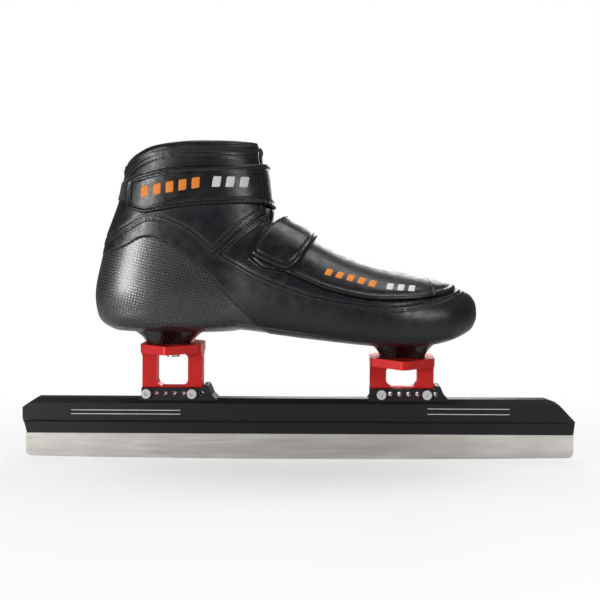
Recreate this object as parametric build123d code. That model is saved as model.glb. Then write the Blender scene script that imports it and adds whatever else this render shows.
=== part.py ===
from build123d import *
import os
from math import copysign, cos, pi, sin

# Short-track speed skate for the right foot, in millimetres.
# +X points to the toe, +Y to the inner (medial) side, +Z up.
# The origin is on the ice, under the middle of the runner.

# Runner: a thin steel blade with a slight rocker
RUNNER_LENGTH = 432.0
RUNNER_THICKNESS = 1.2
RUNNER_TOP = 27.0
RUNNER_CORNER = 4.5
ROCKER_RADIUS = 13000.0

# Tube: the aluminium extrusion that holds the runner
TUBE_BOTTOM = 20.8
TUBE_LEDGE = 31.0
TUBE_SHOULDER = 44.8
TUBE_TOP = 48.5
TUBE_HALF_WIDTH = 7.25
TUBE_FOOT_HALF_WIDTH = 4.75
TUBE_CREST_HALF_WIDTH = 4.0
TUBE_TAIL_X = -217.0
TUBE_NOSE_X = 216.3
GROOVE_TOP = RUNNER_TOP + 0.2
GROOVE_WIDTH = RUNNER_THICKNESS + 0.1
CHAMBER_BOTTOM = 32.5
CHAMBER_TOP = 43.0
CHAMBER_HALF_WIDTH = 5.2
PLUG_LENGTH = 14.0

# Cups: the red brackets between tube and boot
REAR_CUP_X = -100.0
FRONT_CUP_X = 80.0
CUP_SEAT_Z = 57.0
PLATE_THICKNESS = 6.5
PLATE_END_HALF = 12.0
WEB_THICKNESS = 8.5
WINDOW_WIDTH = 24.5
WINDOW_RADIUS = 6.0
TONGUE_THICKNESS = 5.0
TONGUE_SLOT = TONGUE_THICKNESS + 0.1
TONGUE_BOTTOM = 48.9
LUG_HALF_WIDTH = 7.0
LUG_TOP = CUP_SEAT_Z - 0.1
HOLE_Z = 52.6
HOLE_RADIUS = 2.0
HOLE_PITCH = 7.1
HOLE_COUNT = 7

# What differs between the two mounts: cup, hole row and pedestal.
# foot and head are the pedestal's half-length and half-width on the cup and under the sole.
REAR = {
    "cup_x": REAR_CUP_X, "half": 23.5, "holes_x": -98.0, "apex_half": 27.0, "top": 91.5,
    "foot": (18.0, 16.0), "head": (28.0, 20.0), "sole": 104.5,
}
FRONT = {
    "cup_x": FRONT_CUP_X, "half": 25.0, "holes_x": 85.2, "apex_half": 32.0, "top": 81.8,
    "foot": (18.75, 19.0), "head": (25.0, 23.0), "sole": 94.0,
}
LUGS = [REAR, FRONT]
BOLTED_HOLES = (0, 5)

# Fasteners
CROSS_BOLT_RADIUS = 1.9
CROSS_HEAD_RADIUS = 3.7
CROSS_HEAD_HEIGHT = 2.6
CROSS_NUT_HEIGHT = 3.0
MOUNT_BOLT_RADIUS = 3.0
MOUNT_HEAD_RADIUS = 5.0
MOUNT_HEAD_HEIGHT = 3.4
WASHER_RADIUS = 6.2
WASHER_THICKNESS = 1.0
INSERT_RADIUS = 5.0
INSERT_TOP_ABOVE_SEAT = 11.0
LATERAL_TRAVEL = 6.0
SLIP = 0.05
HEX_KEY_SMALL = 1.6
HEX_KEY_LARGE = 2.9
THROUGH = 60.0  # longer than anything a cutter has to pass through
BLANK_HALF = 230.0  # the tube and its hollow are cut from a bar this long either way

# Carbon pedestals: waisted blocks with a recess on each side between two columns
PEDESTAL_CORNER = 8.0
PEDESTAL_WAIST = 0.28
RECESS_WIDTH = 13.0
RECESS_CORE_HALF = 8.0
RECESS_ROOF = 2.0

# Boot: stations along the foot as (x, sole, top, half-width outside, half-width inside)
FOOT_STATIONS = [
    (-120.0, 104.0, 184.0, 29.0, 28.0),
    (-90.0, 103.0, 187.0, 33.5, 32.0),
    (-60.0, 103.5, 189.0, 36.0, 33.0),
    (-30.0, 101.5, 187.0, 39.0, 35.0),
    (0.0, 98.0, 172.5, 43.0, 40.5),
    (30.0, 95.0, 157.5, 47.5, 46.5),
    (60.0, 92.5, 147.5, 49.0, 50.5),
    (85.0, 92.0, 142.0, 46.0, 50.0),
    (105.0, 93.5, 138.3, 40.0, 45.5),
    (120.0, 98.0, 134.5, 31.0, 37.5),
    (130.0, 103.5, 130.0, 20.5, 27.5),
    (137.0, 112.0, 122.5, 6.0, 14.0),
]
# Boot: stations up the heel and ankle as (z, back, front, half-width)
ANKLE_STATIONS = [
    (103.0, -146.0, -45.0, 22.0),
    (107.0, -153.0, -30.0, 28.0),
    (116.0, -159.0, -12.0, 32.0),
    (130.0, -160.7, -4.0, 33.5),
    (150.0, -157.5, -4.0, 33.5),
    (170.0, -152.5, -10.0, 34.5),
    (190.0, -145.0, -21.0, 35.5),
    (205.0, -140.0, -25.5, 35.5),
    (220.0, -137.0, -27.5, 35.5),
    (236.0, -132.5, -30.0, 37.0),
    (252.0, -124.0, -32.0, 38.5),
]
SECTION_POINTS = 16
WIDEST_SHARE = 0.42
SOLE_SQUARENESS = 3.4
TOP_SQUARENESS = 2.1
ANKLE_SQUARENESS = 2.3

# Boot layers, as depths (outer, inner) below the boot's surface; negative stands proud of it
SKIN = (0.0, 3.0)
PADDING = (3.2, 8.0)
TONGUE = (3.6, 7.6)
HOOK_BAND = (-1.2, -0.2)
ANKLE_STRAP = (-4.0, -1.5)
STRAP_ANCHOR = (-2.9, -0.2)
HOOK_PATCH = (-1.5, -0.2)
INSOLE_DEPTH = 3.3
INSOLE_THICKNESS = 4.5

# Lace cover and instep strap stand further off the instep than off the sides: (side, top)
COVER_OUTER = (-5.2, -6.0)
COVER_INNER = (-3.6, -4.3)
INSTEP_OUTER = (-8.0, -12.2)
INSTEP_INNER = (-5.6, -9.8)
COVER_HINGE_X = 99.0

# Lacing
SLOT_HALF = 14.0
SLOT_TOE_X = 76.0
EYELET_X = [68.0, 50.0, 32.0, 14.0, -4.0]
EYELET_Y = 17.5
EYELET_RADIUS = 2.6
EYELET_BORE = 1.5
EYELET_PROUD = 0.4
EYELET_LENGTH = 3.3
LACE_RADIUS = 0.9
LACE_STANDOFF = 2.7
LACE_BEND = 1.2

# Hinge lines of the two straps
ANKLE_HINGE_X = -44.0
HINGE_GAP = 1.6
COVER_GAP = 0.5


def side_face(points):
    """A face in the side view: (x, z) corners joined by straight lines."""
    return make_face(Plane.XZ * Polyline(*points, close=True))


def slab(face, width, y=0.0):
    """Thicken a side-view face evenly about the plane at y."""
    return Pos(0, y, 0) * extrude(face, amount=width / 2, both=True)


def side_region(points, y_low=-80.0, y_high=80.0):
    """A prism across the skate, from (x, z) corners, between two y planes."""
    return slab(side_face(points), y_high - y_low, (y_low + y_high) / 2)


def plan_prism(points, bottom, top):
    """An upright prism from (x, y) corners."""
    face = Pos(0, 0, bottom) * make_face(Polyline(*points, close=True))
    return extrude(face, amount=top - bottom, dir=(0, 0, 1))


def cross_cylinder(x, z, radius, length, y=0.0):
    """A cylinder across the skate."""
    return Pos(x, y, z) * Rot(90, 0, 0) * Cylinder(radius, length)


def upright_cylinder(x, y, bottom, radius, height):
    """A cylinder that stands on the height bottom."""
    return Pos(x, y, bottom + height / 2) * Cylinder(radius, height)


# ---------------------------------------------------------------- blade

def make_runner():
    half = RUNNER_LENGTH / 2
    rise = half ** 2 / (2 * ROCKER_RADIUS)
    edge = ThreePointArc((-half, rise), (0, 0), (half, rise))
    rest = Polyline((half, rise), (half, RUNNER_TOP), (-half, RUNNER_TOP), (-half, rise))
    face = make_face(Plane.XZ * (edge + rest))
    corners = face.vertices().sort_by(Axis.Z)[:2]
    return slab(fillet(corners, RUNNER_CORNER), RUNNER_THICKNESS)


def tube_ends():
    """The tube's silhouette from the side and from above, as one trimming solid."""
    side = side_region([
        (TUBE_TAIL_X + 3.5, TUBE_BOTTOM), (TUBE_TAIL_X, 33.0), (TUBE_TAIL_X, 41.0),
        (TUBE_TAIL_X + 11, TUBE_TOP), (TUBE_NOSE_X - 23, TUBE_TOP), (TUBE_NOSE_X - 13, 44.5),
        (TUBE_NOSE_X, 31.0), (TUBE_NOSE_X - 1.5, TUBE_BOTTOM),
    ])
    wide = TUBE_HALF_WIDTH + 0.1
    outline = [
        (TUBE_TAIL_X - 1, -4.5), (TUBE_TAIL_X + 3.5, -wide),
        (TUBE_NOSE_X - 15, -wide), (TUBE_NOSE_X + 1, -3.6),
    ]
    outline += [(x, -y) for x, y in reversed(outline)]
    return side & plan_prism(outline, 0, THROUGH)


def tube_section():
    right = [
        (TUBE_FOOT_HALF_WIDTH, TUBE_BOTTOM), (TUBE_FOOT_HALF_WIDTH, TUBE_LEDGE - 1.6),
        (TUBE_HALF_WIDTH, TUBE_LEDGE + 0.8), (TUBE_HALF_WIDTH, TUBE_SHOULDER),
        (TUBE_CREST_HALF_WIDTH, TUBE_TOP),
    ]
    left = [(-y, z) for y, z in reversed(right)]
    return make_face(Plane.YZ * Polyline(*right, *left, close=True))


def chamber_bar(start, end):
    """The hollow of the extrusion between two x positions."""
    size_y = 2 * CHAMBER_HALF_WIDTH
    size_z = CHAMBER_TOP - CHAMBER_BOTTOM
    bar = Box(end - start, size_y, size_z)
    bar = fillet(bar.edges().filter_by(Axis.X), 2.0)
    return Pos((start + end) / 2, 0, (CHAMBER_TOP + CHAMBER_BOTTOM) / 2) * bar


def lug_block(cup_x, half_length):
    """One raised double wall on the tube, with the stop bump in front of the cup."""
    start = cup_x - half_length
    stop = cup_x + half_length + 0.6
    face = side_face([
        (start - 2.5, TUBE_TOP - 1.5), (start - 0.2, TUBE_TOP + 2), (start, LUG_TOP), (stop, LUG_TOP),
        (stop + 0.3, LUG_TOP + 2.3), (stop + 4.2, LUG_TOP + 2.3), (stop + 7.6, TUBE_TOP + 3),
        (stop + 12.0, TUBE_TOP - 1.5),
    ])
    tops = face.vertices().sort_by(Axis.Z)[-2:]
    return slab(fillet(tops, 1.2), 2 * LUG_HALF_WIDTH)


def tongue_pocket(cup_x, half_length):
    start = cup_x - half_length - 4
    stop = cup_x + half_length + 0.6
    height = LUG_TOP - TONGUE_BOTTOM + 5
    pocket = Box(stop - start, TONGUE_SLOT, height)
    return Pos((start + stop) / 2, 0, TONGUE_BOTTOM - 0.1 + height / 2) * pocket


def hole_row(lug):
    """The x positions of the adjusting holes of one lug."""
    return [lug["holes_x"] + HOLE_PITCH * (i - (HOLE_COUNT - 1) / 2) for i in range(HOLE_COUNT)]




def make_tube():
    """The extrusion with its two milled lugs, the runner's groove and the adjusting holes."""
    body = Pos(-BLANK_HALF, 0, 0) * extrude(tube_section(), amount=2 * BLANK_HALF, dir=(1, 0, 0))
    for lug in LUGS:
        body += lug_block(lug["cup_x"], lug["half"])
    over_lugs = side_region([(-150, TUBE_TOP), (150, TUBE_TOP), (150, 70), (-150, 70)])
    body = body & (tube_ends() + over_lugs)
    body -= chamber_bar(-BLANK_HALF, BLANK_HALF)
    body -= Pos(0, 0, GROOVE_TOP / 2) * Box(2 * BLANK_HALF, GROOVE_WIDTH, GROOVE_TOP)
    for lug in LUGS:
        body -= tongue_pocket(lug["cup_x"], lug["half"])
        for x in hole_row(lug):
            body -= cross_cylinder(x, HOLE_Z, HOLE_RADIUS, THROUGH)
    return body


def make_plug(start, end):
    """A plug glued into one end of the hollow, cut flush with the tube's end."""
    return chamber_bar(start, end) & tube_ends()


def cup_plate(lug):
    """The six-sided mounting plate, its sides drawn out to two blunt points."""
    x, half, apex, top = lug["cup_x"], lug["half"], lug["apex_half"], lug["top"]
    plan = [(x - half, -PLATE_END_HALF), (x, -apex), (x + half, -PLATE_END_HALF)]
    plan += [(px, -py) for px, py in reversed(plan)]
    plate = plan_prism(plan, top - PLATE_THICKNESS, top)
    return fillet(plate.edges().filter_by(Axis.Z), 5.0)


def cup_web(lug):
    """The upright wall under the plate, thickened where they meet, with its window."""
    x, half, bottom = lug["cup_x"], lug["half"], lug["top"] - PLATE_THICKNESS
    wall_top = bottom + 1
    sill = CUP_SEAT_Z + 0.6
    wall = Pos(x, 0, (CUP_SEAT_Z + wall_top) / 2) * Box(2 * half, WEB_THICKNESS, wall_top - CUP_SEAT_Z)
    step = Pos(x, 0, bottom - 1) * Box(2 * half, WEB_THICKNESS + 4, 4)
    window = Box(WINDOW_WIDTH, THROUGH, bottom - sill)
    window = fillet(window.edges().filter_by(Axis.Y), WINDOW_RADIUS)
    return wall + step - Pos(x, 0, (bottom + sill) / 2) * window


def cup_tongue(lug):
    """The blade under the web that drops between the lug's two walls."""
    start = lug["cup_x"] - lug["half"] + 0.4
    end = lug["cup_x"] + lug["half"] - 2.6
    top = CUP_SEAT_Z + 1
    tongue = Box(end - start, TONGUE_THICKNESS, top - TONGUE_BOTTOM)
    return Pos((start + end) / 2, 0, (top + TONGUE_BOTTOM) / 2) * tongue


def make_cup(lug):
    """Mounting plate, windowed web and tongue, with the slot that lets the boot shift sideways."""
    cup = cup_plate(lug) + cup_web(lug) + cup_tongue(lug)
    slot_width = 2 * MOUNT_BOLT_RADIUS + 0.6
    slot = Box(slot_width, 2 * LATERAL_TRAVEL + slot_width, 2 * PLATE_THICKNESS + 2)
    slot = fillet(slot.edges().filter_by(Axis.Z), slot_width / 2 - 0.01)
    cup -= Pos(lug["cup_x"], 0, lug["top"]) * slot
    for hole_x in hole_row(lug)[:-1]:
        cup -= cross_cylinder(hole_x, HOLE_Z, HOLE_RADIUS, THROUGH)
    return cup


def cross_bolt(x):
    reach = LUG_HALF_WIDTH + CROSS_NUT_HEIGHT + 0.8
    start = -LUG_HALF_WIDTH
    shank = cross_cylinder(x, HOLE_Z, CROSS_BOLT_RADIUS, reach - start, (reach + start) / 2)
    head = cross_cylinder(x, HOLE_Z, CROSS_HEAD_RADIUS, CROSS_HEAD_HEIGHT, start - CROSS_HEAD_HEIGHT / 2)
    socket = Rot(90, 0, 0) * extrude(RegularPolygon(HEX_KEY_SMALL, 6), 1.4, both=True)
    return shank + head - Pos(x, start - CROSS_HEAD_HEIGHT, HOLE_Z) * socket


def cross_nut(x):
    hexagon = RegularPolygon(CROSS_HEAD_RADIUS, 6)
    nut = Rot(90, 0, 0) * extrude(hexagon, CROSS_NUT_HEIGHT / 2, both=True)
    nut = Pos(x, LUG_HALF_WIDTH + CROSS_NUT_HEIGHT / 2, HOLE_Z) * nut
    return nut - cross_cylinder(x, HOLE_Z, CROSS_BOLT_RADIUS, THROUGH)


def bolted_positions():
    return [hole_row(lug)[i] for lug in LUGS for i in BOLTED_HOLES]


def mount_bolt(lug):
    """The bolt that clamps one cup plate to the boot, its head in the cup's window."""
    under = lug["top"] - PLATE_THICKNESS - WASHER_THICKNESS - 2 * SLIP
    head_bottom = under - MOUNT_HEAD_HEIGHT
    head = upright_cylinder(lug["cup_x"], 0, head_bottom, MOUNT_HEAD_RADIUS, MOUNT_HEAD_HEIGHT)
    length = lug["top"] + INSERT_TOP_ABOVE_SEAT - 2 - under
    shank = upright_cylinder(lug["cup_x"], 0, under, MOUNT_BOLT_RADIUS, length)
    socket = extrude(RegularPolygon(HEX_KEY_LARGE, 6), amount=2.2)
    return head + shank - Pos(lug["cup_x"], 0, head_bottom) * socket


def mount_washer(lug):
    bottom = lug["top"] - PLATE_THICKNESS - WASHER_THICKNESS - SLIP
    ring = upright_cylinder(lug["cup_x"], 0, bottom, WASHER_RADIUS, WASHER_THICKNESS)
    return ring - upright_cylinder(lug["cup_x"], 0, bottom - 1, MOUNT_BOLT_RADIUS, 4)


def threaded_insert(lug):
    bottom = lug["top"] + 0.4
    height = INSERT_TOP_ABOVE_SEAT - 0.4
    barrel = upright_cylinder(lug["cup_x"], 0, bottom, INSERT_RADIUS, height)
    return barrel - upright_cylinder(lug["cup_x"], 0, bottom - 1, MOUNT_BOLT_RADIUS, height + 2)


# ---------------------------------------------------------------- boot

def superellipse(angle, squareness):
    c, s = cos(angle), sin(angle)
    power = 2 / squareness
    return copysign(abs(c) ** power, c), copysign(abs(s) ** power, s)


def foot_section(station, side, top, sole):
    """One upright section across the foot: square at the sole, round over the top."""
    x, low, high, outside, inside = station
    low, high = low + sole, high - top
    outside, inside = outside - side, inside - side
    widest = low + WIDEST_SHARE * (high - low)
    middle, half = (inside - outside) / 2, (inside + outside) / 2
    points = []
    for i in range(SECTION_POINTS):
        angle = 2 * pi * i / SECTION_POINTS
        over = i <= SECTION_POINTS / 2
        across, up = superellipse(angle, TOP_SQUARENESS if over else SOLE_SQUARENESS)
        height = high - widest if over else widest - low
        points.append((x, middle + half * across, widest + height * up))
    return Wire([Spline(*points, periodic=True)])


def ankle_section(station, inset):
    """One level section through the heel and ankle."""
    z, back, front, half = station
    back, front, half = back + inset, front - inset, half - inset
    middle, reach = (back + front) / 2, (front - back) / 2
    points = []
    for i in range(SECTION_POINTS):
        along, across = superellipse(2 * pi * i / SECTION_POINTS, ANKLE_SQUARENESS)
        points.append((middle + reach * along, half * across, z))
    return Wire([Spline(*points, periodic=True)])


def toe_station(side, top, sole):
    """The last section of the foot, moved and shrunk so that the toe keeps its wall thickness."""
    x, low, high, outside, inside = FOOT_STATIONS[-1]
    share = max(0.3, 1 - side / 8)
    centre, reach = (low + high) / 2, share * (high - low) / 2
    middle, half = (inside - outside) / 2, share * (inside + outside) / 2
    low, high = centre - reach - sole, centre + reach + top
    return (x - side, low, high, half - middle + side, half + middle + side)


def foot_solid(side, top, sole):
    """The foot, inset by these depths at its sides, over its top and under its sole."""
    stations = FOOT_STATIONS[:-1] + [toe_station(side, top, sole)]
    return Solid.make_loft([foot_section(s, side, top, sole) for s in stations])


def ankle_solid(inset, rise):
    """The heel and ankle body; rise lifts its floor, and the top is left above the collar."""
    floor, second, *others = ANKLE_STATIONS
    lifted = [(z + rise, *rest) for z, *rest in (floor, second)]
    z, back, front, half = ANKLE_STATIONS[-1]
    above = (z + 10, back + 4, front - 1, half)
    return Solid.make_loft([ankle_section(s, inset) for s in lifted + others + [above]])


def boot_solid(depth):
    """The whole boot as one closed solid, depth millimetres below its outer surface."""
    return foot_solid(depth, depth * 1.1, depth) + ankle_solid(depth, depth)


# Lines of the boot in the side view, as (x, z)
COLLAR_LINE = [(-20, 252), (-95, 251.5), (-112, 247.5), (-124, 239.5), (-131, 232), (-150, 229)]
CARBON_LINE = [
    (-170, 158), (-153.7, 161.3), (-132, 168), (-115, 175.6), (-108.6, 175.3), (-85.8, 163.8),
    (-64, 145.4), (-42.3, 121.6), (-23, 103.6), (-14, 88),
]
HEEL_SEAM = [
    (-170, 160), (-150, 167.7), (-128.4, 178), (-116.8, 184.6), (-108, 186), (-96.7, 183.4),
    (-79, 173.7), (-65, 160),
]
SIDE_SEAM = [
    (-65, 160), (-29, 141), (1.5, 130), (27.6, 125.8), (46, 124.4), (98, 126), (116, 128),
    (127, 131.5), (142, 136),
]
FLEX_LINE = [(-65, 160), (-48.2, 176.6), (-38.5, 184.1), (-24.7, 196.6), (0, 214)]
SOLE_STRIP = [(-60, 80), (-60, 108), (0, 103), (60, 98), (110, 99), (110, 80)]
PADDING_EDGE = [(-170, 150), (-47, 150), (-47, 300), (-170, 300)]
TONGUE_EDGE = [
    (92, 126), (60, 131), (30, 138), (0, 150), (-24, 168), (-46, 190), (-46, 248), (10, 248),
    (10, 200), (92, 170),
]
TONGUE_HALF = 20.0


def shell(layer):
    """The boot between two depths."""
    outer, inner = layer
    return boot_solid(outer) - boot_solid(inner)


def above_collar(drop=0.0):
    """Everything over the collar line, lowered by drop."""
    line = [(x, z - drop) for x, z in COLLAR_LINE]
    return side_region(line + [(-190, 229 - drop), (-190, 300), (-20, 300)])


def lace_slot():
    """The gap down the instep that the laces close."""
    plan = [(-60, -SLOT_HALF), (SLOT_TOE_X, -SLOT_HALF), (SLOT_TOE_X, SLOT_HALF), (-60, SLOT_HALF)]
    slot = plan_prism(plan, 128, 300)
    toe_end = slot.edges().filter_by(Axis.Z).sort_by(Axis.X)[-2:]
    return fillet(toe_end, 9.0)


def carbon_region():
    """The heel cup, and the plate under the forefoot."""
    return side_region(CARBON_LINE + [(-170, 88)]) + side_region(SOLE_STRIP, -24, 26)


def pedestal(lug):
    """A carbon pedestal between the sole and one cup plate, hollowed between its two columns."""
    x, base, sole = lug["cup_x"], lug["top"] + SLIP, lug["sole"]
    foot_length, foot_half = lug["foot"]
    head_length, head_half = lug["head"]
    waist_length = foot_length + PEDESTAL_WAIST * (head_length - foot_length)
    waist_half = (3 * foot_half + head_half) / 4
    levels = [
        (base, foot_length, foot_half), ((base + sole) / 2, waist_length, waist_half),
        (sole, head_length, head_half),
    ]
    body = loft([
        Pos(x, 0, z) * RectangleRounded(2 * length, 2 * half, PEDESTAL_CORNER) for z, length, half in levels
    ])
    outside = head_half + 4
    recess = Box(RECESS_WIDTH, 2 * (outside - RECESS_CORE_HALF), 2 * (sole - RECESS_ROOF - base))
    for side in (-1, 1):
        body -= Pos(x, side * outside, base) * recess
    return body


def make_carbon_shell(skin):
    """Heel cup, forefoot plate and both pedestals, moulded in one, with seats for the inserts."""
    shell_body = skin & carbon_region()
    for lug in LUGS:
        shell_body += pedestal(lug)
    for lug in LUGS:
        x, top = lug["cup_x"], lug["top"]
        shell_body -= upright_cylinder(x, 0, top + 0.4, INSERT_RADIUS, INSERT_TOP_ABOVE_SEAT - 0.4)
        shell_body -= upright_cylinder(x, 0, top - 1, MOUNT_BOLT_RADIUS + 0.3, 5)
    return shell_body


def leather_pieces(skin):
    """The upper in three panels that meet at the seams."""
    leather = skin - carbon_region() - above_collar()
    ankle = side_region(HEEL_SEAM + FLEX_LINE[1:] + [(0, 270), (-170, 270)])
    vamp = side_region(SIDE_SEAM + [(142, 230), (0, 230)] + FLEX_LINE[:0:-1])
    slot = lace_slot()
    holes = [eyelet_blank(x, side) for x in EYELET_X for side in (-1, 1)]
    return {
        "ankle_upper": leather & ankle - slot,
        "vamp_upper": (leather & vamp) - slot - holes,
        "lower_wrap": leather - ankle - vamp,
    }


def make_ankle_padding():
    return (shell(PADDING) & side_region(PADDING_EDGE)) - above_collar(1.0)


def make_tongue():
    return shell(TONGUE) & side_region(TONGUE_EDGE, -TONGUE_HALF, TONGUE_HALF)


def make_insole():
    rise = INSOLE_DEPTH + INSOLE_THICKNESS
    top = [(x, sole + rise) for x, sole, *others in FOOT_STATIONS[1:-1]]
    band = side_region([(-175, 111), (-120, 111)] + top + [(145, 118), (145, 80), (-175, 80)])
    return boot_solid(INSOLE_DEPTH) & band


# ---------------------------------------------------------------- lacing and straps

def station_at(x):
    """The foot's measures at x, by straight interpolation between stations."""
    for before, after in zip(FOOT_STATIONS, FOOT_STATIONS[1:]):
        if before[0] <= x <= after[0]:
            share = (x - before[0]) / (after[0] - before[0])
            return [a + share * (b - a) for a, b in zip(before, after)]
    return FOOT_STATIONS[-1]


def instep_height(x, y):
    """Height of the foot's outer surface over (x, y)."""
    _, low, high, outside, inside = station_at(x)
    widest = low + WIDEST_SHARE * (high - low)
    middle, half = (inside - outside) / 2, (inside + outside) / 2
    across = min(1.0, abs(y - middle) / half)
    return widest + (high - widest) * (1 - across ** TOP_SQUARENESS) ** (1 / TOP_SQUARENESS)


def instep_frame(x, y):
    """Surface point and outward normal on top of the foot."""
    step = 0.5
    slope_x = (instep_height(x + step, y) - instep_height(x - step, y)) / (2 * step)
    slope_y = (instep_height(x, y + step) - instep_height(x, y - step)) / (2 * step)
    point = Vector(x, y, instep_height(x, y))
    return point, Vector(-slope_x, -slope_y, 1).normalized()


def eyelet_blank(x, side):
    point, normal = instep_frame(x, side * EYELET_Y)
    middle = point + normal * (EYELET_PROUD - EYELET_LENGTH / 2)
    return Plane(origin=middle, z_dir=normal) * Cylinder(EYELET_RADIUS, EYELET_LENGTH)


def make_eyelet(x, side):
    point, normal = instep_frame(x, side * EYELET_Y)
    return eyelet_blank(x, side) - Plane(origin=point, z_dir=normal) * Cylinder(EYELET_BORE, 20)


def make_lace_bar(x):
    """One crossing of the laces: over the gap from eyelet to eyelet, and down into both."""
    outer, outer_normal = instep_frame(x, -EYELET_Y)
    inner, inner_normal = instep_frame(x, EYELET_Y)
    path = FilletPolyline(
        outer - outer_normal, outer + outer_normal * LACE_STANDOFF,
        inner + inner_normal * LACE_STANDOFF, inner - inner_normal, radius=LACE_BEND,
    )
    start = Plane(origin=outer - outer_normal, z_dir=outer_normal)
    return sweep(start * Circle(LACE_RADIUS), path=path)


def foot_shell(outer, inner):
    """A layer over the foot, from (side, top) depths."""
    return foot_solid(*outer, outer[0]) - foot_solid(*inner, inner[0])


# Plan of the cover from the instep to its rounded toe tip, as (x, y)
COVER_EDGE = [
    (-8, -37), (28, -40), (60, -40), (84, -37), (102, -30), (113, -20), (119, -6),
    (119, 8), (113, 22), (102, 30), (84, 33), (60, 34), (28, 33), (-8, 30),
]


def make_lace_covers():
    """The cover that lifts, and its tip that stays sewn to the toe."""
    layer = foot_shell(COVER_OUTER, COVER_INNER) & plan_prism(COVER_EDGE, 122, 230)
    rear_end, tip_start = COVER_HINGE_X - COVER_GAP, COVER_HINGE_X + COVER_GAP
    rear = layer & side_region([(-20, 100), (rear_end, 100), (rear_end, 230), (-20, 230)])
    tip = layer & side_region([(tip_start, 100), (130, 100), (130, 230), (tip_start, 230)])
    return {"lace_cover": rear, "lace_cover_tip": tip}


ANKLE_STRAP_EDGE = [
    (-128, 214), (-125, 219), (-99.4, 225.8), (-76, 227.6), (-48, 228.8), (-10, 230.5), (-10, 195.5),
    (-19.8, 195.9), (-22.8, 199.3), (-48, 199.8), (-76, 198.4), (-95.7, 195.7), (-113.5, 192),
    (-124, 195.5), (-128, 201),
]
INSTEP_STRAP_EDGE = [
    (-15.7, 197), (13.2, 197), (13.2, 178.4), (8.4, 170.9), (1.2, 160.5), (-3.5, 153.9), (-11.3, 152.8),
    (-31.6, 162.8), (-26, 175.3), (-19, 188),
]
HOOK_BAND_OUTSIDE = [(-150, 200.5), (-38, 202), (-38, 225), (-150, 214)]
HOOK_BAND_INSIDE = [(-150, 200.5), (-106, 200.5), (-106, 218), (-150, 214)]
HOOK_PATCH_EDGE = [(-38, 158), (-27, 150), (-7, 146), (-4, 156), (-14, 168), (-27, 170)]


def outside_half(points):
    """A side-view region on the outer (lateral) half only."""
    return side_region(points, -80, 0)


def inside_half(points):
    """A side-view region on the inner (medial) half only."""
    return side_region(points, 0, 80)


def make_ankle_strap():
    edge = ANKLE_HINGE_X + HINGE_GAP
    behind_hinge = inside_half([(-170, 150), (edge, 150), (edge, 260), (-170, 260)])
    return (shell(ANKLE_STRAP) & side_region(ANKLE_STRAP_EDGE)) - behind_hinge


def make_ankle_strap_anchor():
    edge = ANKLE_HINGE_X - HINGE_GAP
    return shell(STRAP_ANCHOR) & inside_half([(-104, 197), (edge, 199.8), (edge, 228.5), (-104, 225)])


def make_ankle_hook_band():
    return shell(HOOK_BAND) & (outside_half(HOOK_BAND_OUTSIDE) + inside_half(HOOK_BAND_INSIDE))


def instep_hinge_z(x):
    """Height of the instep strap's hinge line, along its lower edge."""
    return 157.0 - 0.318 * (x + 17.0)


def make_instep_strap():
    low, high = -45, 25
    below = inside_half([
        (low, instep_hinge_z(low) + HINGE_GAP), (high, instep_hinge_z(high) + HINGE_GAP),
        (high, 120), (low, 120),
    ])
    band = foot_shell(INSTEP_OUTER, INSTEP_INNER) & side_region(INSTEP_STRAP_EDGE)
    return band - below - ankle_solid(-1.0, -1.0)


def make_instep_strap_anchor():
    rear, front = -30, -1
    region = inside_half([
        (rear, 131), (0, 127),
        (front, instep_hinge_z(front) - HINGE_GAP), (rear, instep_hinge_z(rear) - HINGE_GAP),
    ])
    return shell(STRAP_ANCHOR) & region


def make_instep_hook_patch():
    return shell(HOOK_PATCH) & outside_half(HOOK_PATCH_EDGE)


# ---------------------------------------------------------------- all parts

def blade_parts():
    return {
        "runner": make_runner(),
        "tube": make_tube(),
        "tail_plug": make_plug(-BLANK_HALF, TUBE_TAIL_X + PLUG_LENGTH),
        "nose_plug": make_plug(TUBE_NOSE_X - PLUG_LENGTH - 10, BLANK_HALF),
        "rear_cup": make_cup(REAR),
        "front_cup": make_cup(FRONT),
        "cross_bolts": Compound([cross_bolt(x) for x in bolted_positions()]),
        "cross_nuts": Compound([cross_nut(x) for x in bolted_positions()]),
    }


def boot_parts():
    skin = shell(SKIN)
    parts = {
        "mount_bolts": Compound([mount_bolt(lug) for lug in LUGS]),
        "mount_washers": Compound([mount_washer(lug) for lug in LUGS]),
        "threaded_inserts": Compound([threaded_insert(lug) for lug in LUGS]),
        "carbon_shell": make_carbon_shell(skin),
        "ankle_padding": make_ankle_padding(),
        "tongue": make_tongue(),
        "insole": make_insole(),
        "eyelets": Compound([make_eyelet(x, side) for x in EYELET_X for side in (-1, 1)]),
        "laces": Compound([make_lace_bar(x) for x in EYELET_X]),
        "ankle_hook_band": make_ankle_hook_band(),
        "ankle_strap": make_ankle_strap(),
        "ankle_strap_anchor": make_ankle_strap_anchor(),
        "instep_hook_patch": make_instep_hook_patch(),
        "instep_strap": make_instep_strap(),
        "instep_strap_anchor": make_instep_strap_anchor(),
    }
    parts.update(leather_pieces(skin))
    parts.update(make_lace_covers())
    return parts


os.makedirs("parts", exist_ok=True)
for name, shape in {**blade_parts(), **boot_parts()}.items():
    export_step(shape, f"parts/{name}.step")
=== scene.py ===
import math

import bpy
import numpy as np
import openvdb
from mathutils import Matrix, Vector
from mathutils.bvhtree import BVHTree


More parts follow.
